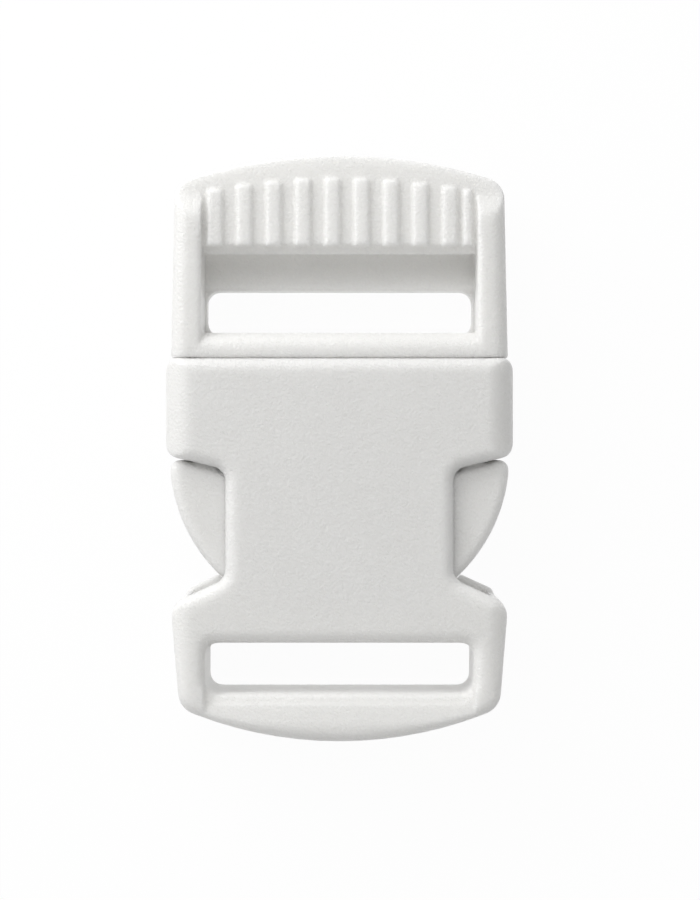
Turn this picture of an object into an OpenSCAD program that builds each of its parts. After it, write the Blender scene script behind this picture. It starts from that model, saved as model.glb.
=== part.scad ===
/* [Whole buckle] */
// Width across the collar of the socket
buckle_w = 33.1; // [32.6:0.1:33.6]
// Length from the arched end of the plug to the bar end of the socket
buckle_l = 55.7; // [55.2:0.1:56.2]
// Thickness of the socket, back face to front face
buckle_t = 9.6; // [9.2:0.1:10.4]
// Clear width of both webbing slots, for 25 mm webbing
slot_w = 25.4; // [25.2:0.1:25.6]

/* [Socket] */
// Distance of the mouth from the middle of the length
mouth_y = 8.5; // [8.3:0.1:8.8]
// Thickness of the front and back plates
plate_t = 1.2; // [1.1:0.1:1.5]
// Thickness of the side walls of the collar
collar_wall = 1.85; // [1.7:0.05:1.95]
// Width of the waist between the side windows
waist_w = 21.7; // [21.2:0.1:22]
// Width across the shoulders under the windows
shoulder_w = 32.0; // [31.6:0.1:32.2]
// Width at the corners of the bar end
bar_end_w = 30.4; // [30:0.1:31]
// Clear height of the webbing slot
socket_slot_l = 4.8; // [4.3:0.1:5]
// Length of the sewing bar under the slot, at its middle
socket_bar_l = 4.55; // [4.4:0.05:5]
// Depth of the front of the sewing bar below the side rails
bar_recess = 0.7; // [0.4:0.1:1]
// Radius of the curved bar end
bar_end_r = 38; // [34:1:44]
// Round-over of the outer edges
socket_round = 1.3; // [1:0.1:1.5]
// Round-over along the sides of the collar
side_round = 2.6; // [2:0.1:3]

/* [Plug] */
// Gap of the seam between plug and socket
seam_gap = 0.2; // [0.2:0.05:0.4]
// Thickness of the adjuster frame beside the seam
frame_t = 7.8; // [7.4:0.1:8.2]
// How far the back of the frame rises towards the arch
back_rise = 0.9; // [0.5:0.1:1.5]
// How far the front of the frame curves down to the edge of the arch
front_drop = 2; // [1.6:0.1:2.2]
// Width of the frame beside the seam
frame_w_seam = 32.1; // [31.8:0.1:32.4]
// Width of the frame at the corners of the arch
frame_w_arch = 31.4; // [31:0.1:31.8]
// Radius of the arched end
arch_r = 47; // [42:1:55]
// Round-over of the outer edges of the frame
frame_round = 1.5; // [1.2:0.1:1.8]
// Width of the channel between the side rails
channel_w = 26.2; // [25.8:0.1:26.6]
// Length of the base bar along the buckle
base_bar_l = 2.25; // [2:0.05:2.5]
// Clear height of the webbing slot
plug_slot_l = 4.25; // [4.15:0.05:4.4]
// Length of the locking bar along the buckle
lock_bar_l = 3.9; // [3.6:0.1:4.2]
// Distance of the ribbed plate's lower edge from the middle of the length
plate_edge_y = 18.6; // [18.4:0.1:18.8]
// Thickness of the ribbed plate under the grooves
plate_floor_t = 1.9; // [1.7:0.1:2]
// Width of the ribbed plate between the gutters beside the side rails
plate_w = 25.2; // [25:0.1:25.4]
// Depth of the gutters below the lower end of the grooves
gutter_d = 0.3; // [0.2:0.1:0.5]
// Slope of the grooves and ribs down towards the arch, in degrees
grip_tilt = 5; // [4:0.5:6]

/* [Grip ribs] */
// Number of ribs, counted from the left end of the plate
rib_count = 9; // [7:1:9]
// Distance between ribs
rib_pitch = 2.79; // [2.75:0.01:2.85]
// Width of a rib
rib_w = 1.5; // [1.3:0.1:1.7]
// Height of a rib over the groove floor
rib_h = 0.5; // [0.4:0.1:0.6]
// Distance of the ribs' upper ends from the edge of the arch
rib_end = 2.2; // [2:0.1:2.4]

/* [Prongs and tongue] */
// Width of a sprung arm inside the collar
arm_w = 2.4; // [2.2:0.1:2.6]
// Distance of an arm's inner side from the middle
arm_x = 11.45; // [11.3:0.05:11.6]
// Radius of the curved outer side of a prong head
head_r = 15.5; // [15.4:0.1:15.6]
// Gap above and below a prong head inside the socket
head_gap = 0.2; // [0.15:0.05:0.3]
// Gap between the collar and the catch on top of a prong head
catch_gap = 0.25; // [0.2:0.01:0.4]
// Width of the guide tongue
tongue_w = 5; // [4.5:0.1:5.5]
// Distance of the tongue's end past the middle of the length
tongue_end = 8; // [6:0.5:9]

/* [Hidden] */
$fn = 40;
plastic = [0.92, 0.92, 0.91];

// How far a cut or a joined piece runs past a face
slack = 1;
// Keeps the side round-over off the flat faces that it meets
skin = 0.02;

mid_z = buckle_t / 2;
top_y = buckle_l / 2;
end_y = -buckle_l / 2;
base_y = mouth_y + seam_gap;

// Slope of the collar's lower edge and of the catch under it
catch_slope = tan(13.8);
collar_low_y = -0.95;
collar_low_x = 15.6;

// Slope of the shoulders under the windows
shoulder_slope = tan(24.5);
shoulder_x = 14.3;
shoulder_y = -13.6;

shoulder_corner_r = 1.9;
slot_corner_r = 1.2;

// Fillets between the waist and its neighbours
waist_fillet_r = 1.2;
fillet_inset = 0.35;
fillet_lap = 1.5;

// The hollow of the socket, and the side windows that open it
cavity_w = buckle_w - 2 * collar_wall;
cavity_corner_r = 1;
pocket_w = 28.8;
pocket_end_y = -15.2;
window_lap = 2.9;
window_inner_x = 9;
window_outer_x = buckle_w / 2 + 3;

// The webbing slots
socket_slot_y = end_y + socket_bar_l;
plug_slot_y = base_y + base_bar_l;
lock_bar_y = plug_slot_y + plug_slot_l;

// Levels of the adjuster frame
frame_z = mid_z - frame_t / 2;
frame_top_z = mid_z + frame_t / 2;
rib_top_z = frame_top_z - 0.3;
groove_z = rib_top_z - rib_h;
gutter_z = groove_z - gutter_d;
plate_under_z = groove_z - plate_floor_t;

// Outline and bars of the adjuster frame
frame_corner_r = 2;
rail_round = 0.9;
base_bar_round = 1.2;
seam_round = 0.4;
ledge_t = 2.2;
lock_bar_round = 0.5;
lock_bar_low_t = 2;
lock_bar_high_t = 2.5;

// The ribbed plate: the chamfer of its lower edge, and the rim between its grooves and the arch
plate_chamfer = 0.85;
groove_y = plate_edge_y + plate_chamfer;
rim_w = 1.8;
rib_round = 0.4;

// Centre of the circle on the outer side of a prong head, and the head's inner side
head_x = 0.67;
head_y = -0.95;
head_inner_x = 10.4;
head_round = 0.9;

// Levels of the heads, the arms and the tongue inside the socket
head_z = plate_t + head_gap;
head_top_z = buckle_t - head_z;
arm_z = head_z + 0.5;
arm_top_z = buckle_t - arm_z;
arm_round = 0.5;
arm_lap = 3.5;
tongue_z = arm_z + 0.3;
root_y = base_y - 2;
root_lap = 0.5;

// Height of the collar's lower edge at a distance x from the middle
function collar_edge_y(x) = collar_low_y - (collar_low_x - x) * catch_slope;

// Height of the shoulder at a distance x from the middle
function shoulder_edge_y(x) = shoulder_y - (x - shoulder_x) * shoulder_slope;

module both_sides() {
    children();
    mirror([1, 0, 0]) children();
}

module round_corners(r) {
    offset(r = r) offset(delta = -r) children();
}

module fill_corners(r) {
    offset(r = -r) offset(delta = r) children();
}

function unit(v) = v / norm(v);

// Corner b of an outline, moved in by r from both of its sides
function inner_corner(a, b, c, r) =
    let (
        u = unit([b.x - a.x, b.y - a.y]),
        v = unit([c.x - b.x, c.y - b.y]),
        inward = [-u.y - v.y, u.x + v.x]
    )
    [b.x, b.y] + inward * r / (1 + u * v);

function inset(outline, r) =
    let (n = len(outline))
    [for (i = [0:n - 1])
        inner_corner(outline[(i + n - 1) % n], outline[i], outline[(i + 1) % n], r)];

// Points on a circle round a centre, from angle a0 to a1
function arc(centre, r, a0, a1, steps) =
    [for (i = [0:steps])
        let (a = a0 + (a1 - a0) * i / steps)
        [centre.x + r * cos(a), centre.y + r * sin(a)]];

// A disc from z0 to z1 with rounded edges
module rounded_disc(corner_r, edge_r, z0, z1) {
    flat_r = corner_r - edge_r;
    rotate_extrude($fn = 24)
        polygon(concat(
            [[0, z0]],
            [for (a = [-90:22.5:0]) [flat_r + edge_r * cos(a), z0 + edge_r + edge_r * sin(a)]],
            [for (a = [0:22.5:90]) [flat_r + edge_r * cos(a), z1 - edge_r + edge_r * sin(a)]],
            [[0, z1]]
        ));
}

// A slab from z0 to z1 over a convex outline, listed anticlockwise, with rounded corners and edges
module rounded_form(outline, corner_r, edge_r, z0, z1) {
    hull()
        for (centre = inset(outline, corner_r))
            translate(centre)
                rounded_disc(corner_r, edge_r, z0, z1);
}

// A bar along Y with a rounded section, from y0 to y1, x0 to x1 and z0 to z1
module bar_along_y(x0, x1, y0, y1, z0, z1, r) {
    translate([0, y1, 0])
        rotate([90, 0, 0])
            linear_extrude(y1 - y0)
                round_corners(r)
                    translate([x0, z0])
                        square([x1 - x0, z1 - z0]);
}

// A bar along X whose section is the child outline, drawn in Y and Z
module bar_along_x(length) {
    translate([-length / 2, 0, 0])
        rotate([90, 0, 90])
            linear_extrude(length)
                children();
}

module block(x0, x1, y0, y1, z0, z1) {
    translate([x0, y0, z0]) cube([x1 - x0, y1 - y0, z1 - z0]);
}

// Socket

// The collar round the mouth
collar_outline =
    let (half = buckle_w / 2, waist = waist_w / 2 - 1)
    [
        [-half, mouth_y], [-half, collar_edge_y(half)], [-waist, collar_edge_y(waist)],
        [waist, collar_edge_y(waist)], [half, collar_edge_y(half)], [half, mouth_y]
    ];

// The shoulders under the windows and the curved bar end
lower_outline =
    let (
        waist = waist_w / 2 - 1,
        half = shoulder_w / 2,
        end_angle = asin(bar_end_w / 2 / bar_end_r)
    )
    concat(
        [[waist, shoulder_edge_y(waist)], [-waist, shoulder_edge_y(waist)], [-half, shoulder_edge_y(half)]],
        arc([0, end_y + bar_end_r], bar_end_r, -90 - end_angle, -90 + end_angle, 10),
        [[half, shoulder_edge_y(half)]]
    );

// Fillets where the waist meets the collar and the shoulders
module waist_fillets() {
    inner_x = waist_w / 2 - fillet_lap;
    outer_x = waist_w / 2 + fillet_lap;
    far_x = window_outer_x;
    low_y = shoulder_y - fillet_lap;
    translate([0, 0, fillet_inset])
        linear_extrude(buckle_t - 2 * fillet_inset)
            both_sides()
                intersection() {
                    fill_corners(waist_fillet_r) {
                        polygon([
                            [inner_x, slack], [far_x, slack], [far_x, collar_edge_y(far_x)],
                            [inner_x, collar_edge_y(inner_x)]
                        ]);
                        polygon([
                            [inner_x, low_y], [far_x, low_y - fillet_lap], [far_x, shoulder_edge_y(far_x)],
                            [inner_x, shoulder_edge_y(inner_x)]
                        ]);
                        translate([inner_x, low_y]) square([fillet_lap, slack - low_y]);
                    }
                    translate([inner_x, shoulder_y]) square([outer_x - inner_x, -shoulder_y]);
                }
}

module slot_plan(y0, length) {
    round_corners(slot_corner_r)
        translate([-slot_w / 2, y0])
            square([slot_w, length]);
}

// Front of the sewing bar, set back between the side rails
module bar_recess_cut() {
    fade_y = end_y + socket_round;
    bar_along_x(slot_w)
        polygon([
            [socket_slot_y - slack, buckle_t - bar_recess],
            [socket_slot_y + slack, buckle_t - bar_recess],
            [socket_slot_y + slack, buckle_t + slack],
            [fade_y, buckle_t + slack],
            [fade_y, buckle_t]
        ]);
}

// The hollow between the front and back plates, open at the mouth and the side windows
module socket_hollow() {
    mouth_end_y = collar_edge_y(buckle_w / 2) - window_lap;
    bar_along_y(-cavity_w / 2, cavity_w / 2, mouth_end_y, mouth_y + slack,
        plate_t, buckle_t - plate_t, cavity_corner_r);
    block(-pocket_w / 2, pocket_w / 2, pocket_end_y, 0, plate_t, buckle_t - plate_t);
    both_sides()
        translate([0, 0, plate_t])
            linear_extrude(buckle_t - 2 * plate_t)
                polygon([
                    [window_inner_x, collar_edge_y(window_inner_x)],
                    [window_outer_x, collar_edge_y(window_outer_x)],
                    [window_outer_x, shoulder_edge_y(window_outer_x)],
                    [window_inner_x, shoulder_edge_y(window_inner_x)]
                ]);
}

module socket() {
    color(plastic)
        difference() {
            intersection() {
                union() {
                    rounded_form(collar_outline, socket_round, socket_round, 0, buckle_t);
                    rounded_form(lower_outline, shoulder_corner_r, socket_round, 0, buckle_t);
                    bar_along_y(-waist_w / 2, waist_w / 2, shoulder_y - 2, 1, 0, buckle_t, socket_round);
                    waist_fillets();
                }
                bar_along_y(-buckle_w / 2 - skin, buckle_w / 2 + skin, end_y - slack, mouth_y + slack,
                    -skin, buckle_t + skin, side_round);
            }
            socket_hollow();
            translate([0, 0, -slack])
                linear_extrude(buckle_t + 2 * slack)
                    slot_plan(socket_slot_y, socket_slot_l);
            bar_recess_cut();
        }
}

// Plug

// The outline runs on past the seam, so that the round-over of its end is cut away there
frame_outline =
    let (
        past_seam = base_y - frame_corner_r,
        end_angle = asin(frame_w_arch / 2 / arch_r)
    )
    concat(
        [[-frame_w_seam / 2, past_seam], [frame_w_seam / 2, past_seam], [frame_w_seam / 2, base_y]],
        arc([0, top_y - arch_r], arch_r, 90 - end_angle, 90 + end_angle, 10),
        [[-frame_w_seam / 2, base_y]]
    );

// The field inside the rim of the arch, between the rails
module grip_plan(inset, low_y) {
    intersection() {
        translate([-channel_w / 2, low_y]) square([channel_w, buckle_l]);
        translate([0, top_y - arch_r]) circle(r = arch_r - inset, $fn = 96);
    }
}

// Turns the field and the ribs down towards the arch
module tilted_grip() {
    translate([0, groove_y, groove_z])
        rotate([-grip_tilt, 0, 0])
            translate([0, -groove_y, -groove_z])
                children();
}

// The gutters at both ends of the field, open towards the slot
module gutters() {
    both_sides()
        translate([0, 0, gutter_z])
            linear_extrude(frame_t)
                intersection() {
                    translate([plate_w / 2, plate_edge_y - slack])
                        square([(channel_w - plate_w) / 2 + skin, buckle_l]);
                    translate([0, top_y - arch_r]) circle(r = arch_r - rim_w, $fn = 96);
                }
}

module side_rails() {
    both_sides()
        bar_along_y(channel_w / 2, frame_w_seam / 2 + slack, base_y, top_y + slack,
            frame_z, frame_top_z, rail_round);
}

// The base bar is tight at the seam and round towards the slot
module base_bar() {
    bar_along_x(channel_w + slack)
        hull() {
            base_bar_corners(base_y + seam_round, seam_round);
            base_bar_corners(plug_slot_y - base_bar_round, base_bar_round);
        }
}

module base_bar_corners(y, r) {
    translate([y, frame_z + r]) circle(r = r, $fn = 32);
    translate([y, frame_top_z - r]) circle(r = r, $fn = 32);
}

// A low ledge narrows the slot to the width of the webbing and rounds its corners
module slot_ledge() {
    width = channel_w + slack;
    translate([0, 0, frame_z])
        linear_extrude(ledge_t)
            difference() {
                translate([-width / 2, base_y + base_bar_round])
                    square([width, lock_bar_y + lock_bar_round - base_y]);
                slot_plan(plug_slot_y, plug_slot_l, $fn = 32);
            }
}

// The locking bar lies at the back, a webbing's thickness behind the ribbed plate
module lock_bar() {
    y0 = lock_bar_y;
    y1 = lock_bar_y + lock_bar_l;
    bar_along_x(channel_w + slack)
        round_corners(lock_bar_round, $fn = 32)
            polygon([
                [y0, frame_z], [y1, frame_z],
                [y1, frame_z + lock_bar_high_t], [y0, frame_z + lock_bar_low_t]
            ]);
}

module ribbed_plate() {
    difference() {
        bar_along_x(channel_w + slack)
            polygon([
                [plate_edge_y, plate_under_z], [top_y + slack, plate_under_z],
                [top_y + slack, frame_top_z], [groove_y, frame_top_z],
                [groove_y, groove_z], [plate_edge_y, groove_z - plate_chamfer]
            ]);
        tilted_grip()
            translate([0, 0, groove_z])
                linear_extrude(frame_t)
                    grip_plan(rim_w, plate_edge_y - slack);
        gutters();
    }
}

// Half of each rib's section is sunk in the plate, so that only its round top stands out over the
// grooves and, at the upper ends, over the rim
module grip_ribs() {
    tilted_grip()
        intersection() {
            translate([0, 0, groove_z - rib_h / 2])
                linear_extrude(frame_t)
                    grip_plan(rib_end, groove_y);
            for (i = [0:rib_count - 1])
                translate([i * rib_pitch - plate_w / 2, 0, 0])
                    bar_along_y(0, rib_w, groove_y, top_y,
                        groove_z - rib_h, rib_top_z, rib_round, $fn = 32);
        }
}

// The wall under the arch closes the frame behind the ribbed plate
module arch_wall() {
    translate([0, 0, frame_z])
        linear_extrude(frame_t)
            difference() {
                translate([-frame_w_seam / 2, lock_bar_y + lock_bar_l])
                    square([frame_w_seam, top_y - lock_bar_y]);
                translate([0, top_y - arch_r]) circle(r = arch_r - rim_w, $fn = 96);
            }
}

// Height of the front of the frame, which curves down past the edge of the ribbed plate
function front_z(y) =
    let (share = max(0, y - plate_edge_y) / (top_y - plate_edge_y))
    frame_top_z - front_drop * share * share;

// Side view of the frame, which is thinner towards the arch
module frame_wedge() {
    bar_along_x(buckle_w)
        polygon(concat(
            [
                [base_y, frame_z], [lock_bar_y, frame_z],
                [top_y, frame_z + back_rise], [top_y + slack, frame_z + back_rise]
            ],
            [for (y = [top_y + slack, top_y + slack - 1, top_y - 1.5, top_y - 3, top_y - 4.5, top_y - 6, top_y - 7.5])
                [y, front_z(y)]],
            [[plate_edge_y, frame_top_z], [base_y, frame_top_z]]
        ));
}

module adjuster_frame() {
    intersection() {
        rounded_form(frame_outline, frame_corner_r, frame_round, frame_z, frame_top_z);
        frame_wedge();
        union() {
            side_rails();
            base_bar();
            slot_ledge();
            lock_bar();
            ribbed_plate();
            arch_wall();
        }
    }
    grip_ribs();
}

module root() {
    bar_along_y(-arm_x - arm_w, arm_x + arm_w, root_y, base_y + root_lap,
        arm_z, arm_top_z, arm_round, $fn = 32);
}

// A prong head: a curved outer side, a straight inner side and the catch on top
head_outline =
    let (
        tip_angle = -acos((head_inner_x - head_x) / head_r),
        top_angle = -6,
        catch_x = head_x + head_r * cos(top_angle / 2)
    )
    concat(
        [[head_inner_x, collar_edge_y(head_inner_x) - catch_gap]],
        arc([head_x, head_y], head_r, tip_angle, top_angle, 12),
        [[catch_x, collar_edge_y(catch_x) - catch_gap]]
    );

module prong() {
    bar_along_y(arm_x, arm_x + arm_w, -arm_lap, root_y + root_lap,
        arm_z, arm_top_z, arm_round, $fn = 32);
    rounded_form(head_outline, head_round, head_round, head_z, head_top_z);
}

module tongue() {
    half = tongue_w / 2;
    taper_y = 3 - tongue_end;
    translate([0, 0, tongue_z])
        linear_extrude(buckle_t - 2 * tongue_z)
            round_corners(1)
                polygon([
                    [-half, root_y + slack], [-half, taper_y], [-half / 2, -tongue_end],
                    [half / 2, -tongue_end], [half, taper_y], [half, root_y + slack]
                ]);
}

module plug() {
    color(plastic) {
        adjuster_frame();
        root();
        both_sides() prong();
        tongue();
    }
}

socket();
plug();
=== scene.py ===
import math

import bmesh
import bpy
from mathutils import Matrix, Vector


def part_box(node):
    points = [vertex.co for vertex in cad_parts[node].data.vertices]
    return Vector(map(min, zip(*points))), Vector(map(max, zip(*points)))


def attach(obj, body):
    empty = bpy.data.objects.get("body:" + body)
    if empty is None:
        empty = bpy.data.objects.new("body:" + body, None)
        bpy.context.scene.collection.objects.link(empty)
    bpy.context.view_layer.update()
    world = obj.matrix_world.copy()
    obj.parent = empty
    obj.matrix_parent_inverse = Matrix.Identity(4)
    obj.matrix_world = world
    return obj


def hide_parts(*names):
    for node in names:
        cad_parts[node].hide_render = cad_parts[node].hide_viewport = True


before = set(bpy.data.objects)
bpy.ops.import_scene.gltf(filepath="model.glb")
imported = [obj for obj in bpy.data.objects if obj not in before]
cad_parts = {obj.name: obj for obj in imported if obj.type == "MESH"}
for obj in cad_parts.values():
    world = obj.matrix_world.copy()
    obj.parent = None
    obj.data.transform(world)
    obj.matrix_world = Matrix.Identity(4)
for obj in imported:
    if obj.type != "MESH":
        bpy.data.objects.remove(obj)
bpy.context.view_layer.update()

# Pieces are modelled in millimetres and brought to metres at the end
MM = 0.001
socket_low, socket_high = (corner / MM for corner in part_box("socket"))
plug_low, plug_high = (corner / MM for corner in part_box("plug"))

# Whole buckle
HALF_W = socket_high.x
END_Y = socket_low.y
MOUTH_Y = socket_high.y
ARCH_Y = plug_high.y
TOP_Z = socket_high.z
MID_Z = TOP_Z / 2
SLOT_HALF = 12.7

# How far a part reaches past what it cuts or joins, a small margin, how close an edge lies to a place
# that names it, and how far a cutter stays clear of a face
SLACK = 1.0
MARGIN = 0.1
NEAR = 0.02
HAIR = 0.01

# Socket: plan
COLLAR_LOW_Y = -0.95
COLLAR_LOW_X = 15.6
COLLAR_SLOPE = math.tan(math.radians(13.8))
SHOULDER_X = 14.3
SHOULDER_Y = -14.0
SHOULDER_SLOPE = math.tan(math.radians(24.5))
SHOULDER_HALF = 16.0
WAIST_HALF = 10.85
BAR_END_HALF = 15.2
BAR_END_R = 38.0
MOUTH_CORNER_R = 1.25
COLLAR_CORNER_R = 1.4
WAIST_CORNER_R = 1.25
SHOULDER_CORNER_R = 1.9
BAR_CORNER_R = 2.0
BACK_LIP = 0.42
LIP_INSET = 0.9
LIP_DEPTH = 1.5
LIP_CORNER_R = 0.6

# Socket: section
SOCKET_ROUND = 1.2
SIDE_ROUND = 2.8
PLATE_T = 1.15
CAVITY_HALF = 14.7
CAVITY_CORNER_R = 1.0
POCKET_HALF = 14.4
POCKET_END_Y = -15.2
WINDOW_LAP = 2.9

# Socket: webbing slot and sewing bar
SOCKET_SLOT_LOW_Y = END_Y + 4.55
SOCKET_SLOT_HIGH_Y = SOCKET_SLOT_LOW_Y + 4.8
SLOT_CORNER_R = 1.2
RIM_DEPTH = 1.0
RIM_SIDES = 1.0
RIM_BODY = 1.3
CUT_LAP = 0.5
BAR_RECESS = 0.65
BAR_ROUND = 0.95
BAR_ROUND_DEPTH = 0.55
BAR_FADE_Y = END_Y + 1.8

# Plug: adjuster frame
BASE_Y = MOUTH_Y + 0.02
FRAME_Z = plug_low.z
FRAME_TOP_Z = plug_high.z
FRAME_HALF_SEAM = 16.05
FRAME_HALF_ARCH = 15.7
ARCH_R = 47.0
FRAME_CORNER_R = 2.0
FRAME_ROUND = 1.5
SEAM_ROUND = 0.2
BACK_RISE = 0.9
RAIL_END_LOW_Y = 21.6
RAIL_END_HIGH_Y = 24.8
RAIL_END_RISE = 0.03
RAIL_END_RUNOUT = 0.5
CHANNEL_HALF = 13.1
RAIL_ROUND = 0.5
BASE_BAR_ROUND = 1.8
PLUG_SLOT_LOW_Y = MOUTH_Y + 2.45
PLUG_SLOT_HIGH_Y = PLUG_SLOT_LOW_Y + 4.25
LEDGE_T = 2.2
PLUG_SLOT_HALF = 12.9
LOCK_BAR_L = 3.9
LOCK_BAR_LOW_T = 2.7
LOCK_BAR_HIGH_T = 1.0
LOCK_BAR_ROUND = 0.5
ARCH_WALL_T = 2.1
ARCH_WALL_LAP = 0.3

# Plug: ribbed plate
PLATE_EDGE_Y = 18.5
PLATE_CHAMFER = 0.85
GROOVE_Y = PLATE_EDGE_Y + PLATE_CHAMFER
PLATE_UNDER_Z = 6.0
RIB_TOP_Z = 8.33
RIB_H = 0.43
GROOVE_Z = RIB_TOP_Z - RIB_H
GUTTER_Z = GROOVE_Z - 0.1
GUTTER_END_Y = RAIL_END_LOW_Y + 1.6
GUTTER_LAP = 0.05
GRIP_TILT = math.radians(3.1)
GRIP_HALF = 12.6
PLATE_DROP = 0.6
RIB_COUNT = 9
RIB_PITCH = 2.79
RIB_W = 1.52
RIB_ROUND = 0.36
RIB_CORNER_R = 0.4
RIB_LAP = 0.25
RIB_START_L = 3
RIB_END = 2.15
RIB_END_CLOSER = 0.0036
END_RIB_X = 11.72

# Plug: prongs and tongue
ARM_X = 11.45
ARM_W = 2.4
ARM_ROUND = 0.5
ARM_SETBACK = 0.5
ROOT_Y = 6.75
HEAD_X = 0.67
HEAD_Y = -0.95
HEAD_R = 15.5
HEAD_INNER_X = 10.4
HEAD_TOP_ANGLE = -6
HEAD_GAP = 0.12
HEAD_ROUND = 0.9
CATCH_GAP = 0.1
TONGUE_HALF = 2.5
TONGUE_END_Y = -8.0
TONGUE_TAPER = 3
TONGUE_SETBACK = 0.8
TONGUE_CORNER_R = 0.8

# Mesh fineness
SOCKET_GRAIN = 0.17
PLUG_GRAIN = 0.13
MOST_TRIANGLES = 190000

# Studio, in metres and watts
TABLE_SIZE = 4
TABLE_Z = -0.00002
KEY_PLACE = (-0.14, 0.17, 0.10)
KEY_SIZE = (0.30, 0.08)
KEY_POWER = 0.38
ROOM_BRIGHT_SIDE = (-0.68, 0.73, 0.0)
ROOM_LOW = 0.40
ROOM_HIGH = 0.96
CAMERA_PLACE = (0.001, -0.00024, 0.2048)
CAMERA_LENS = 82.9


def collar_edge_y(x):
    """Height of the collar's lower edge at a distance x from the middle."""
    return COLLAR_LOW_Y - (COLLAR_LOW_X - x) * COLLAR_SLOPE


def shoulder_edge_y(x):
    """Height of the shoulder at a distance x from the middle."""
    return SHOULDER_Y - (x - SHOULDER_X) * SHOULDER_SLOPE


def arc(centre, radius, start, end, steps):
    """Points on a circle round a centre, from one angle to another in degrees."""
    angles = [math.radians(start + (end - start) * i / steps) for i in range(steps + 1)]
    return [(centre[0] + radius * math.cos(a), centre[1] + radius * math.sin(a)) for a in angles]


def mirrored(points):
    """The same points on the other side of the buckle, in reverse order."""
    return [(-x, y) for x, y in reversed(points)]


def take(piece):
    """Makes one piece the only selected and active one."""
    if bpy.context.object and bpy.context.object.mode == "EDIT":
        bpy.ops.object.mode_set(mode="OBJECT")
    bpy.ops.object.select_all(action="DESELECT")
    piece.select_set(True)
    bpy.context.view_layer.objects.active = piece


def open_piece(piece):
    """Opens one piece in edit mode with nothing selected."""
    take(piece)
    bpy.ops.object.mode_set(mode="EDIT")
    bpy.ops.mesh.select_all(action="DESELECT")


def close_piece():
    bpy.ops.object.mode_set(mode="OBJECT")


def place_in_mesh(piece):
    """Leaves the piece's object at the origin, unturned and unscaled."""
    take(piece)
    bpy.ops.object.transform_apply(location=True, rotation=True, scale=True)


def block(name, low, high):
    """A block between two opposite corners."""
    bpy.ops.object.select_all(action="DESELECT")
    low, high = Vector(low), Vector(high)
    bpy.ops.mesh.primitive_cube_add(size=1, location=(low + high) / 2, scale=high - low)
    piece = bpy.context.object
    piece.name = name
    place_in_mesh(piece)
    return piece


def drawn_slab(name, outline, low_z, high_z):
    """A slab over an outline of (x, y) points, drawn point by point and pulled up."""
    bpy.ops.object.select_all(action="DESELECT")
    bpy.ops.mesh.primitive_plane_add(size=1, location=(0, 0, 0))
    piece = bpy.context.object
    piece.name = name
    bpy.ops.object.mode_set(mode="EDIT")
    bpy.ops.mesh.select_mode(type="VERT")
    bpy.ops.mesh.select_all(action="SELECT")
    bpy.ops.mesh.merge(type="CENTER")
    pen = Vector((outline[0][0], outline[0][1], low_z))
    bpy.ops.transform.translate(value=pen)
    for x, y in outline[1:]:
        step = Vector((x, y, low_z)) - pen
        bpy.ops.mesh.extrude_vertices_move(TRANSFORM_OT_translate={"value": step})
        pen += step
    bpy.ops.mesh.select_all(action="SELECT")
    bpy.ops.mesh.edge_face_add()
    bpy.ops.mesh.extrude_region_move(TRANSFORM_OT_translate={"value": (0, 0, high_z - low_z)})
    bpy.ops.mesh.select_all(action="SELECT")
    bpy.ops.mesh.normals_make_consistent(inside=False)
    close_piece()
    return piece


def side_slab(name, outline, half):
    """A slab drawn in side view over (y, z) points, reaching the same distance to both sides."""
    piece = drawn_slab(name, outline, -half, half)
    piece.rotation_euler = (math.pi / 2, 0, math.pi / 2)
    place_in_mesh(piece)
    return piece


def middle(edge):
    return (edge.verts[0].co + edge.verts[1].co) / 2


def runs_along(edge, axis):
    """Whether the edge runs along the X (0), Y (1) or Z (2) axis."""
    way = (edge.verts[1].co - edge.verts[0].co).normalized()
    return abs(way[axis]) > 0.999


def stands_at(edge, x, y):
    """Whether the edge stands upright at a place."""
    return runs_along(edge, 2) and (middle(edge).xy - Vector((x, y))).length < NEAR


def round_edges(piece, wanted, radius, steps=6):
    """Rounds the wanted edges of a piece to a radius, whatever the angle between their faces."""
    open_piece(piece)
    bpy.ops.mesh.select_mode(type="EDGE")
    mesh = bmesh.from_edit_mesh(piece.data)
    picked = [edge for edge in mesh.edges if wanted(edge)]
    for edge in picked:
        edge.select_set(True)
    turn = picked[0].calc_face_angle()
    bmesh.update_edit_mesh(piece.data)
    bpy.ops.mesh.bevel(
        offset=radius * math.tan(turn / 2), segments=steps, profile=0.5, affect="EDGES", clamp_overlap=False
    )
    close_piece()


def round_corners(piece, x, y, radius, steps=6):
    """Rounds the upright edges at x and -x, or the one that is there."""
    round_edges(piece, lambda edge: stands_at(edge, x, y) or stands_at(edge, -x, y), radius, steps)


def slice_off(piece, point, way):
    """Cuts away what lies past a plane through a point, where way points to, and closes the cut."""
    open_piece(piece)
    bpy.ops.mesh.select_all(action="SELECT")
    bpy.ops.mesh.bisect(plane_co=point, plane_no=Vector(way).normalized(), use_fill=True, clear_outer=True)
    close_piece()


def combine(piece, other, how):
    """Joins the piece with another (UNION), cuts it (DIFFERENCE) or keeps what they share (INTERSECT)."""
    take(piece)
    modifier = piece.modifiers.new(name=how, type="BOOLEAN")
    modifier.operation = how
    modifier.solver = "EXACT"
    modifier.object = other
    bpy.ops.object.modifier_apply(modifier=modifier.name)
    bpy.data.objects.remove(other, do_unlink=True)


def mirror_copy(piece):
    """A copy on the other side of the buckle, with its faces turned outwards again."""
    take(piece)
    bpy.ops.object.duplicate(linked=False)
    copy = bpy.context.object
    copy.scale = (-1, 1, 1)
    place_in_mesh(copy)
    open_piece(copy)
    bpy.ops.mesh.select_all(action="SELECT")
    bpy.ops.mesh.normals_make_consistent(inside=False)
    close_piece()
    return copy


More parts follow.
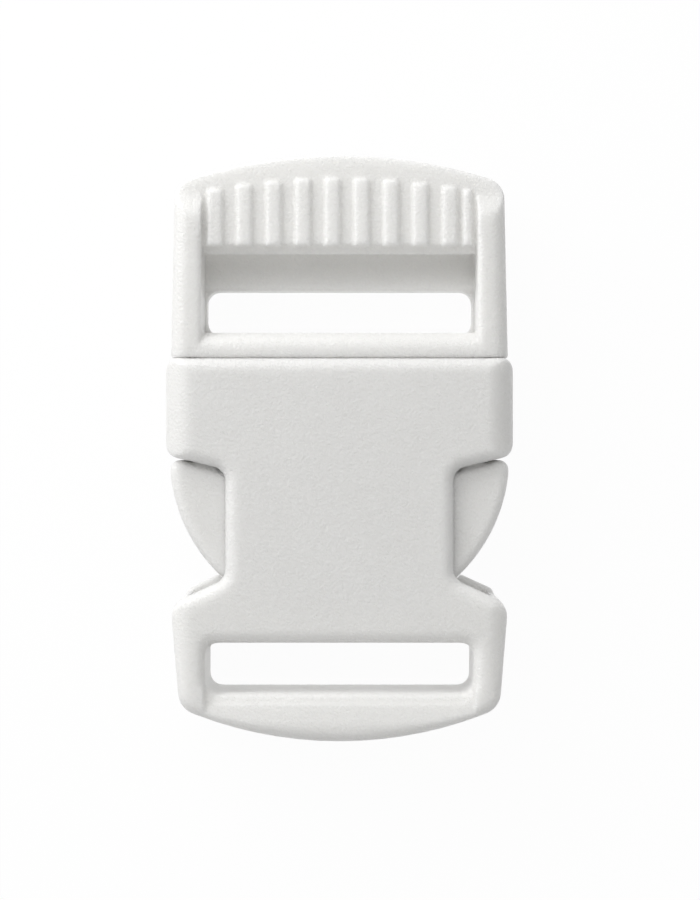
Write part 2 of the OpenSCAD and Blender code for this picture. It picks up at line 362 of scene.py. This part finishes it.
def join(piece, others):
    """Puts other closed parts that overlap the piece into it."""
    take(piece)
    for other in others:
        other.select_set(True)
    bpy.ops.object.join()


def moulded(piece, grain, passes):
    """Gives the piece one skin with the soft edges of a moulding, and brings it to metres."""
    take(piece)
    skin = piece.modifiers.new(name="skin", type="REMESH")
    skin.mode = "VOXEL"
    skin.voxel_size = grain
    skin.use_smooth_shade = True
    bpy.ops.object.modifier_apply(modifier=skin.name)
    soften = piece.modifiers.new(name="soften", type="SMOOTH")
    soften.factor = 0.5
    soften.iterations = passes
    bpy.ops.object.modifier_apply(modifier=soften.name)
    triangles = sum(len(face.vertices) - 2 for face in piece.data.polygons)
    if triangles > MOST_TRIANGLES:
        thin = piece.modifiers.new(name="thin out", type="DECIMATE")
        thin.ratio = MOST_TRIANGLES / triangles
        bpy.ops.object.modifier_apply(modifier=thin.name)
    piece.scale = (MM, MM, MM)
    place_in_mesh(piece)
    bpy.ops.object.shade_smooth()


# Socket

def socket_outline():
    """Right side of the socket seen from the front, then the curved bar end, then the left side."""
    end_angle = math.degrees(math.asin(BAR_END_HALF / BAR_END_R))
    side = [
        (HALF_W, MOUTH_Y),
        (HALF_W, collar_edge_y(HALF_W)),
        (WAIST_HALF, collar_edge_y(WAIST_HALF)),
        (WAIST_HALF, shoulder_edge_y(WAIST_HALF)),
        (SHOULDER_HALF, shoulder_edge_y(SHOULDER_HALF)),
    ]
    bar_end = arc((0, END_Y + BAR_END_R), BAR_END_R, -90 + end_angle, -90 - end_angle, 16)
    return side + bar_end + mirrored(side)


def back_lip():
    """The right edge of the back plate that shows past the front plate at the shoulder."""
    near_x, far_x = WAIST_HALF + LIP_INSET, SHOULDER_HALF - LIP_INSET
    near_y, far_y = shoulder_edge_y(near_x), shoulder_edge_y(far_x)
    outline = [
        (near_x, near_y - LIP_DEPTH),
        (far_x, far_y - LIP_DEPTH),
        (far_x, far_y + BACK_LIP),
        (near_x, near_y + BACK_LIP),
    ]
    lip = drawn_slab("back lip", outline, 0, PLATE_T)
    round_corners(lip, far_x, far_y + BACK_LIP, LIP_CORNER_R)
    return lip


def socket_shell():
    """The outer form, rounded along its rims and more strongly along its sides."""
    shell = drawn_slab("socket", socket_outline(), 0, TOP_Z)
    round_corners(shell, HALF_W, MOUTH_Y, MOUTH_CORNER_R)
    round_corners(shell, HALF_W, collar_edge_y(HALF_W), COLLAR_CORNER_R)
    round_corners(shell, WAIST_HALF, collar_edge_y(WAIST_HALF), WAIST_CORNER_R)
    round_corners(shell, WAIST_HALF, shoulder_edge_y(WAIST_HALF), WAIST_CORNER_R)
    round_corners(shell, SHOULDER_HALF, shoulder_edge_y(SHOULDER_HALF), SHOULDER_CORNER_R)
    bar_corner_y = END_Y + BAR_END_R - math.sqrt(BAR_END_R**2 - BAR_END_HALF**2)
    round_corners(shell, BAR_END_HALF, bar_corner_y, BAR_CORNER_R)
    round_edges(shell, lambda edge: abs(middle(edge).z - MID_Z) > MID_Z - HAIR, SOCKET_ROUND, 8)
    sides = block(
        "side rounding",
        (-HALF_W - NEAR, END_Y - SLACK, -NEAR),
        (HALF_W + NEAR, MOUTH_Y + SLACK, TOP_Z + NEAR),
    )
    round_edges(sides, lambda edge: runs_along(edge, 1), SIDE_ROUND, 12)
    combine(shell, sides, "INTERSECT")
    lip = back_lip()
    combine(shell, mirror_copy(lip), "UNION")
    combine(shell, lip, "UNION")
    return shell


def socket_cavity():
    """The space behind the mouth, with its long edges rounded."""
    low_y = collar_edge_y(HALF_W) - WINDOW_LAP
    cavity = block("cavity", (-CAVITY_HALF, low_y, PLATE_T), (CAVITY_HALF, MOUTH_Y + SLACK, TOP_Z - PLATE_T))
    round_edges(cavity, lambda edge: runs_along(edge, 1), CAVITY_CORNER_R)
    return cavity


def socket_pocket():
    """The space between the plates that the prong tips reach into."""
    return block("pocket", (-POCKET_HALF, POCKET_END_Y, PLATE_T), (POCKET_HALF, 0, TOP_Z - PLATE_T))


def flared_cutter(from_z, to_z, spread_sides, spread_low, spread_high, depth):
    """A slot cutter from inside the piece out through a face at to_z, widened there in a quarter round."""
    low_y, high_y = SOCKET_SLOT_LOW_Y, SOCKET_SLOT_HIGH_Y
    up = 1 if to_z > from_z else -1
    to_z += up * HAIR
    neck_z = to_z - up * depth
    cutter = block(
        "slot cutter",
        (-SLOT_HALF, low_y, min(from_z, neck_z)),
        (SLOT_HALF, high_y, max(from_z, neck_z)),
    )
    round_edges(cutter, lambda edge: runs_along(edge, 2), SLOT_CORNER_R)
    open_piece(cutter)
    bpy.ops.mesh.select_mode(type="FACE")
    mesh = bmesh.from_edit_mesh(cutter.data)
    for face in mesh.faces:
        face.select_set(face.normal.z * up > 0.9)
    bmesh.update_edit_mesh(cutter.data)
    steps = 6
    half, low, high, z = SLOT_HALF, low_y, high_y, neck_z
    for i in range(1, steps + 1):
        angle = math.pi / 2 * i / steps
        share = 1 - math.cos(angle)
        next_z = neck_z + up * depth * math.sin(angle)
        next_half = SLOT_HALF + spread_sides * share
        next_low = low_y - spread_low * share
        next_high = high_y + spread_high * share
        shift = ((next_low + next_high) - (low + high)) / 2
        bpy.ops.mesh.extrude_region_move(TRANSFORM_OT_translate={"value": (0, shift, next_z - z)})
        bpy.ops.transform.resize(
            value=(next_half / half, (next_high - next_low) / (high - low), 1),
            center_override=(0, (next_low + next_high) / 2, next_z),
        )
        half, low, high, z = next_half, next_low, next_high, next_z
    bpy.ops.mesh.extrude_region_move(TRANSFORM_OT_translate={"value": (0, 0, up * SLACK)})
    close_piece()
    return cutter


def cut_socket_slot(shell):
    """The webbing slot, with a wide soft rim towards the body and a round edge along the sewing bar."""
    cutters = [
        flared_cutter(MID_Z - CUT_LAP, TOP_Z, RIM_SIDES, 0, RIM_BODY, RIM_DEPTH),
        bar_recess(),
        flared_cutter(MID_Z - CUT_LAP, TOP_Z - BAR_RECESS, 0, BAR_ROUND, 0, BAR_ROUND_DEPTH),
        flared_cutter(MID_Z + CUT_LAP, 0, RIM_SIDES, BAR_ROUND, RIM_BODY, RIM_DEPTH),
    ]
    for cutter in cutters:
        combine(shell, cutter, "DIFFERENCE")


def bar_recess():
    """A wedge that sets the front of the sewing bar back between the side rails."""
    half = SLOT_HALF + MARGIN
    wedge = block(
        "bar recess",
        (-half, BAR_FADE_Y, TOP_Z - BAR_RECESS),
        (half, SOCKET_SLOT_LOW_Y + SLACK, TOP_Z + SLACK),
    )
    slope = Vector((0, -BAR_RECESS, BAR_FADE_Y - SOCKET_SLOT_LOW_Y))
    slice_off(wedge, (0, BAR_FADE_Y, TOP_Z), slope)
    return wedge


def socket():
    shell = socket_shell()
    combine(shell, socket_cavity(), "DIFFERENCE")
    combine(shell, socket_pocket(), "DIFFERENCE")
    cut_socket_slot(shell)
    moulded(shell, SOCKET_GRAIN, passes=3)
    return shell


# Plug

def arch_points(inset, half, steps=16):
    """Points along the arch, moved in by an inset, from one side at x = half to the other."""
    radius = ARCH_R - inset
    end_angle = math.degrees(math.asin(half / radius))
    return arc((0, ARCH_Y - ARCH_R), radius, 90 - end_angle, 90 + end_angle, steps)


def arch_y(inset, x):
    """Height of the arch, moved in by an inset, at a distance x from the middle."""
    return ARCH_Y - ARCH_R + math.sqrt((ARCH_R - inset) ** 2 - x**2)


def plate_z(y):
    """Height of the groove floor, which runs on past the ribs as the rim of the arch."""
    share = (y - GROOVE_Y) / (ARCH_Y - GROOVE_Y)
    return GROOVE_Z - PLATE_DROP * (0.5 * share + 0.5 * share**3)


def rim_curve(low_y, steps=8):
    """Side view of that surface from low_y to past the arch."""
    run = ARCH_Y - low_y
    ys = [low_y + run * i / steps for i in range(steps + 1)] + [ARCH_Y + SLACK]
    return [(y, plate_z(y)) for y in ys]


def front_space():
    """The space in front of the frame: the rails end in a soft drop to the level of the rim."""
    steps = 12
    run = RAIL_END_HIGH_Y - RAIL_END_LOW_Y
    drop = FRAME_TOP_Z - plate_z(RAIL_END_HIGH_Y) - RAIL_END_RISE
    outline = [(BASE_Y - SLACK, FRAME_TOP_Z)]
    for i in range(steps + 1):
        share = i / steps
        fall = drop * (1 - math.cos(math.pi * share)) / 2
        outline.append((RAIL_END_LOW_Y + run * share, FRAME_TOP_Z - fall))
    outline += rim_curve(RAIL_END_HIGH_Y + RAIL_END_RUNOUT, 4)
    outline += [(ARCH_Y + SLACK, FRAME_TOP_Z + SLACK), (BASE_Y - SLACK, FRAME_TOP_Z + SLACK)]
    return side_slab("front space", outline, HALF_W + SLACK)


def field_space():
    """The space in front of the grooves and the rim, between the rails."""
    outline = [(PLATE_EDGE_Y - SLACK, GROOVE_Z)] + rim_curve(GROOVE_Y)
    outline += [(ARCH_Y + SLACK, FRAME_TOP_Z + SLACK), (PLATE_EDGE_Y - SLACK, FRAME_TOP_Z + SLACK)]
    return side_slab("field space", outline, CHANNEL_HALF)


def frame_form():
    """The outer form of the adjuster frame, thinner towards the arch."""
    outline = [(FRAME_HALF_SEAM, BASE_Y)] + arch_points(0, FRAME_HALF_ARCH) + [(-FRAME_HALF_SEAM, BASE_Y)]
    form = drawn_slab("plug", outline, FRAME_Z, FRAME_TOP_Z)
    round_corners(form, FRAME_HALF_ARCH, arch_y(0, FRAME_HALF_ARCH), FRAME_CORNER_R, 8)
    run = ARCH_Y - PLUG_SLOT_HIGH_Y
    slice_off(form, (0, PLUG_SLOT_HIGH_Y, FRAME_Z), (0, BACK_RISE, -run))
    open_angle = math.radians(60)
    round_edges(
        form,
        lambda edge: middle(edge).y > BASE_Y + MARGIN and edge.calc_face_angle() > open_angle,
        FRAME_ROUND,
        8,
    )
    round_edges(form, lambda edge: max(v.co.y for v in edge.verts) < BASE_Y + 0.1 * HAIR, SEAM_ROUND, 4)
    combine(form, front_space(), "DIFFERENCE")
    return form


def side_rail():
    """The right rail, round on its inner side."""
    rail = block(
        "rail",
        (CHANNEL_HALF, BASE_Y - SLACK, FRAME_Z),
        (HALF_W + SLACK, ARCH_Y + SLACK, FRAME_TOP_Z + SLACK),
    )
    slice_off(rail, (0, 0, FRAME_TOP_Z), (0, 0, 1))
    round_edges(rail, lambda edge: runs_along(edge, 1) and middle(edge).x < CHANNEL_HALF + HAIR, RAIL_ROUND)
    return rail


def base_bar():
    """The bar beside the seam, round towards the slot."""
    half = CHANNEL_HALF + SLACK
    bar = block("base bar", (-half, BASE_Y, FRAME_Z), (half, PLUG_SLOT_LOW_Y, FRAME_TOP_Z))
    slot_side, seam_side = BASE_Y + MARGIN, BASE_Y + HAIR
    round_edges(bar, lambda edge: runs_along(edge, 0) and middle(edge).y > slot_side, BASE_BAR_ROUND, 8)
    round_edges(bar, lambda edge: runs_along(edge, 0) and middle(edge).y < seam_side, SEAM_ROUND, 4)
    return bar


def slot_ledge():
    """The low ledge that narrows the slot to the webbing's width and rounds its corners."""
    half = CHANNEL_HALF + SLACK
    ledge = block(
        "ledge",
        (-half, BASE_Y + SEAM_ROUND, FRAME_Z),
        (half, PLUG_SLOT_HIGH_Y + LOCK_BAR_ROUND, FRAME_Z + LEDGE_T),
    )
    slot = block(
        "slot", (-PLUG_SLOT_HALF, PLUG_SLOT_LOW_Y, -SLACK), (PLUG_SLOT_HALF, PLUG_SLOT_HIGH_Y, FRAME_TOP_Z)
    )
    round_edges(slot, lambda edge: runs_along(edge, 2), SLOT_CORNER_R)
    combine(ledge, slot, "DIFFERENCE")
    return ledge


def lock_bar():
    """The locking bar at the back, crowned on top and falling towards the ribbed plate."""
    low_y = PLUG_SLOT_HIGH_Y
    rise = LOCK_BAR_HIGH_T - LOCK_BAR_LOW_T
    steps = 8
    outline = [(low_y, FRAME_Z), (low_y + LOCK_BAR_L, FRAME_Z)]
    for i in range(steps + 1):
        share = 1 - i / steps
        outline.append((low_y + LOCK_BAR_L * share, FRAME_Z + LOCK_BAR_LOW_T + rise * share**2))
    bar = side_slab("locking bar", outline, CHANNEL_HALF + SLACK)
    round_edges(bar, lambda edge: runs_along(edge, 0) and middle(edge).y < low_y + HAIR, LOCK_BAR_ROUND, 5)
    return bar


def arch_wall():
    """The wall under the arch that closes the frame behind the ribbed plate."""
    half = CHANNEL_HALF + SLACK
    outer = arch_points(-SLACK, half)
    inner = arch_points(ARCH_WALL_T, half)
    return drawn_slab("arch wall", outer + list(reversed(inner)), FRAME_Z, PLATE_UNDER_Z + ARCH_WALL_LAP)


def tilt_down(piece):
    """Turns the piece down towards the arch round the lower end of the grooves."""
    open_piece(piece)
    bpy.ops.mesh.select_all(action="SELECT")
    bpy.ops.transform.rotate(value=GRIP_TILT, orient_axis="X", center_override=(0, GROOVE_Y, GROOVE_Z))
    close_piece()


def ribbed_plate():
    """The plate that the ribs stand on, with a sloped lower edge."""
    half = CHANNEL_HALF + SLACK
    plate = block("ribbed plate", (-half, PLATE_EDGE_Y, PLATE_UNDER_Z), (half, ARCH_Y + SLACK, FRAME_TOP_Z))
    combine(plate, field_space(), "DIFFERENCE")
    slice_off(plate, (0, PLATE_EDGE_Y, GROOVE_Z - PLATE_CHAMFER), (0, -PLATE_CHAMFER, PLATE_CHAMFER))
    for side in (-1, 1):
        edges = sorted((side * GRIP_HALF, side * (CHANNEL_HALF + GUTTER_LAP)))
        gutter = block(
            "gutter",
            (edges[0], PLATE_EDGE_Y - SLACK, GUTTER_Z),
            (edges[1], GUTTER_END_Y, FRAME_TOP_Z + SLACK),
        )
        combine(plate, gutter, "DIFFERENCE")
    return plate


def grip_ribs():
    """Nine ribs side by side from the plate's left end and a narrow one at its right end."""
    low_y = GROOVE_Y - RIB_LAP
    high_y = low_y + RIB_START_L
    middle_y = (low_y + high_y) / 2
    places = [(-GRIP_HALF + i * RIB_PITCH, -GRIP_HALF + i * RIB_PITCH + RIB_W) for i in range(RIB_COUNT)]
    places.append((END_RIB_X, GRIP_HALF))
    ribs = []
    for low_x, high_x in places:
        x = (low_x + high_x) / 2
        rib = block("rib", (low_x, low_y, GROOVE_Z - RIB_H), (high_x, high_y, RIB_TOP_Z))
        round_edges(rib, lambda edge: runs_along(edge, 2) and middle(edge).y > middle_y, RIB_CORNER_R, 4)
        round_edges(rib, lambda edge: middle(edge).z > RIB_TOP_Z - HAIR, RIB_ROUND, 5)
        open_piece(rib)
        mesh = bmesh.from_edit_mesh(rib.data)
        for vertex in mesh.verts:
            vertex.select_set(vertex.co.y > middle_y)
        mesh.select_flush(True)
        bmesh.update_edit_mesh(rib.data)
        stretch = arch_y(RIB_END - RIB_END_CLOSER * x**2, x) - high_y
        bpy.ops.transform.translate(value=(0, stretch, 0))
        close_piece()
        tilt_down(rib)
        ribs.append(rib)
    return ribs


def prong_head():
    """A head: a curved outer side, a straight inner side under the plates and the catch on top."""
    catch_x = HEAD_X + HEAD_R * math.cos(math.radians(HEAD_TOP_ANGLE / 2))
    catch_y = collar_edge_y(catch_x) - CATCH_GAP
    inner_x = HEAD_INNER_X - 2 * SLACK
    tip_angle = -math.degrees(math.acos((inner_x - HEAD_X) / HEAD_R))
    outline = (
        [(inner_x, collar_edge_y(inner_x) - CATCH_GAP)]
        + arc((HEAD_X, HEAD_Y), HEAD_R, tip_angle, HEAD_TOP_ANGLE, 20)
        + [(catch_x, catch_y)]
    )
    low_z = PLATE_T + HEAD_GAP
    head = drawn_slab("prong head", outline, low_z, TOP_Z - low_z)
    round_corners(head, catch_x, catch_y, HEAD_ROUND + MARGIN)
    rim = MID_Z - low_z - HAIR
    round_edges(
        head,
        lambda edge: abs(middle(edge).z - MID_Z) > rim and middle(edge).x > inner_x + MARGIN,
        HEAD_ROUND,
        8,
    )
    slice_off(head, (HEAD_INNER_X, 0, 0), (-1, 0, 0))
    return head


def prong_arm():
    """The sprung arm between the root and the head."""
    low_z = PLATE_T + HEAD_GAP + ARM_SETBACK
    low_y = collar_edge_y(ARM_X) - 1.5 * SLACK
    arm = block("arm", (ARM_X, low_y, low_z), (ARM_X + ARM_W, ROOT_Y + 0.5 * SLACK, TOP_Z - low_z))
    round_edges(arm, lambda edge: runs_along(edge, 1), ARM_ROUND, 4)
    return arm


def root():
    """The cross bar inside the mouth that carries both arms and the tongue."""
    low_z = PLATE_T + HEAD_GAP
    half = ARM_X + ARM_W
    bar = block("root", (-half, ROOT_Y, low_z), (half, BASE_Y + 0.5 * SLACK, TOP_Z - low_z))
    round_edges(bar, lambda edge: runs_along(edge, 1), ARM_ROUND, 4)
    return bar


def tongue():
    """The guide tongue in the middle, narrower at its end."""
    low_z = PLATE_T + HEAD_GAP + TONGUE_SETBACK
    side = [
        (TONGUE_HALF, ROOT_Y + SLACK),
        (TONGUE_HALF, TONGUE_END_Y + TONGUE_TAPER),
        (TONGUE_HALF / 2, TONGUE_END_Y),
    ]
    piece = drawn_slab("tongue", side + mirrored(side), low_z, TOP_Z - low_z)
    round_corners(piece, TONGUE_HALF / 2, TONGUE_END_Y, TONGUE_CORNER_R)
    return piece


def plug():
    form = frame_form()
    rail = side_rail()
    inside = arch_wall()
    for part in [mirror_copy(rail), rail, base_bar(), slot_ledge(), lock_bar(), ribbed_plate()]:
        combine(inside, part, "UNION")
    combine(form, inside, "INTERSECT")
    head = prong_head()
    arm = prong_arm()
    join(form, grip_ribs() + [root(), mirror_copy(arm), arm, mirror_copy(head), head, tongue()])
    moulded(form, PLUG_GRAIN, passes=2)
    return form


# Finish

def white_plastic():
    """Moulded white plastic: a fine grain, a faint unevenness and a soft shine."""
    material = bpy.data.materials.new("white plastic")
    material.use_nodes = True
    nodes = material.node_tree.nodes
    links = material.node_tree.links
    shader = nodes["Principled BSDF"]
    shader.inputs["Roughness"].default_value = 0.32
    shader.inputs["IOR"].default_value = 1.49
    shader.inputs["Subsurface Weight"].default_value = 1.0
    shader.inputs["Subsurface Radius"].default_value = (1.0, 1.0, 1.0)
    shader.inputs["Subsurface Scale"].default_value = 0.0014

    place = nodes.new("ShaderNodeTexCoord")
    cloud = nodes.new("ShaderNodeTexNoise")
    cloud.inputs["Scale"].default_value = 180
    cloud.inputs["Detail"].default_value = 3
    links.new(place.outputs["Object"], cloud.inputs["Vector"])
    grain = nodes.new("ShaderNodeTexNoise")
    grain.inputs["Scale"].default_value = 4200
    grain.inputs["Detail"].default_value = 1
    grain.inputs["Roughness"].default_value = 0.5
    links.new(place.outputs["Object"], grain.inputs["Vector"])
    blend = nodes.new("ShaderNodeMix")
    blend.inputs["Factor"].default_value = 0.5
    links.new(cloud.outputs["Fac"], blend.inputs["A"])
    links.new(grain.outputs["Fac"], blend.inputs["B"])
    tone = nodes.new("ShaderNodeValToRGB")
    tone.color_ramp.elements[0].color = (0.780, 0.775, 0.760, 1)
    tone.color_ramp.elements[1].color = (0.850, 0.846, 0.833, 1)
    links.new(blend.outputs["Result"], tone.inputs["Fac"])
    links.new(tone.outputs["Color"], shader.inputs["Base Color"])

    bump = nodes.new("ShaderNodeBump")
    bump.inputs["Strength"].default_value = 0.8
    bump.inputs["Distance"].default_value = 0.00014
    links.new(grain.outputs["Fac"], bump.inputs["Height"])
    links.new(bump.outputs["Normal"], shader.inputs["Normal"])
    return material


def dress(piece, material, node):
    """Gives the piece its finish and lets it stand for its CAD node."""
    piece.data.materials.clear()
    piece.data.materials.append(material)
    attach(piece, "root")
    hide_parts(node)


# Studio

def floor():
    """A plain white table that glows upwards, so that it shows almost no shadow."""
    bpy.ops.object.select_all(action="DESELECT")
    bpy.ops.mesh.primitive_plane_add(size=TABLE_SIZE, location=(0, 0, TABLE_Z))
    table = bpy.context.object
    table.name = "floor"
    material = bpy.data.materials.new("table white")
    material.use_nodes = True
    shader = material.node_tree.nodes["Principled BSDF"]
    shader.inputs["Base Color"].default_value = (0.05, 0.05, 0.05, 1)
    shader.inputs["Roughness"].default_value = 1.0
    shader.inputs["Specular IOR Level"].default_value = 0.0
    shader.inputs["Emission Color"].default_value = (1, 1, 1, 1)
    slant = material.node_tree.nodes.new("ShaderNodeLayerWeight")
    slant.inputs["Blend"].default_value = 0.5
    glow = material.node_tree.nodes.new("ShaderNodeMapRange")
    glow.inputs["From Min"].default_value = 0.05
    glow.inputs["From Max"].default_value = 1.0
    glow.inputs["To Min"].default_value = 0.95
    glow.inputs["To Max"].default_value = 0.3
    material.node_tree.links.new(slant.outputs["Facing"], glow.inputs["Value"])
    material.node_tree.links.new(glow.outputs["Result"], shader.inputs["Emission Strength"])
    table.data.materials.append(material)
    return table


def soft_light(name, place, size, power):
    """A lamp with a wide screen that points at the middle of the buckle."""
    light = bpy.data.lights.new(name, "AREA")
    light.shape = "RECTANGLE"
    light.size, light.size_y = size
    light.energy = power
    lamp = bpy.data.objects.new(name, light)
    lamp.location = place
    aim = Vector((0, 0, MID_Z * MM)) - Vector(place)
    lamp.rotation_euler = aim.to_track_quat("-Z", "Y").to_euler()
    bpy.context.scene.collection.objects.link(lamp)


def room_light(bright_side, low, high):
    """A room that grows brighter from its dark side to the side that bright_side points to."""
    world = bpy.data.worlds.new("room")
    world.use_nodes = True
    nodes = world.node_tree.nodes
    links = world.node_tree.links
    way = nodes.new("ShaderNodeTexCoord")
    share = nodes.new("ShaderNodeVectorMath")
    share.operation = "DOT_PRODUCT"
    share.inputs[1].default_value = Vector(bright_side).normalized()
    links.new(way.outputs["Generated"], share.inputs[0])
    level = nodes.new("ShaderNodeMapRange")
    level.inputs["From Min"].default_value = -1
    level.inputs["From Max"].default_value = 1
    level.inputs["To Min"].default_value = low
    level.inputs["To Max"].default_value = high
    links.new(share.outputs["Value"], level.inputs["Value"])
    nodes["Background"].inputs["Color"].default_value = (1, 1, 1, 1)
    links.new(level.outputs["Result"], nodes["Background"].inputs["Strength"])
    bpy.context.scene.world = world


def studio():
    floor()
    soft_light("key", KEY_PLACE, KEY_SIZE, KEY_POWER)
    room_light(ROOM_BRIGHT_SIDE, ROOM_LOW, ROOM_HIGH)
    bpy.context.scene.view_settings.view_transform = "Standard"


def camera():
    """Straight above the middle of the buckle."""
    data = bpy.data.cameras.new("camera")
    data.sensor_fit = "AUTO"
    data.sensor_width = 36
    data.lens = CAMERA_LENS
    data.clip_start = 0.01
    viewer = bpy.data.objects.new("camera", data)
    viewer.location = CAMERA_PLACE
    bpy.context.scene.collection.objects.link(viewer)
    bpy.context.scene.camera = viewer


plastic = white_plastic()
dress(socket(), plastic, "socket")
dress(plug(), plastic, "plug")
studio()
camera()
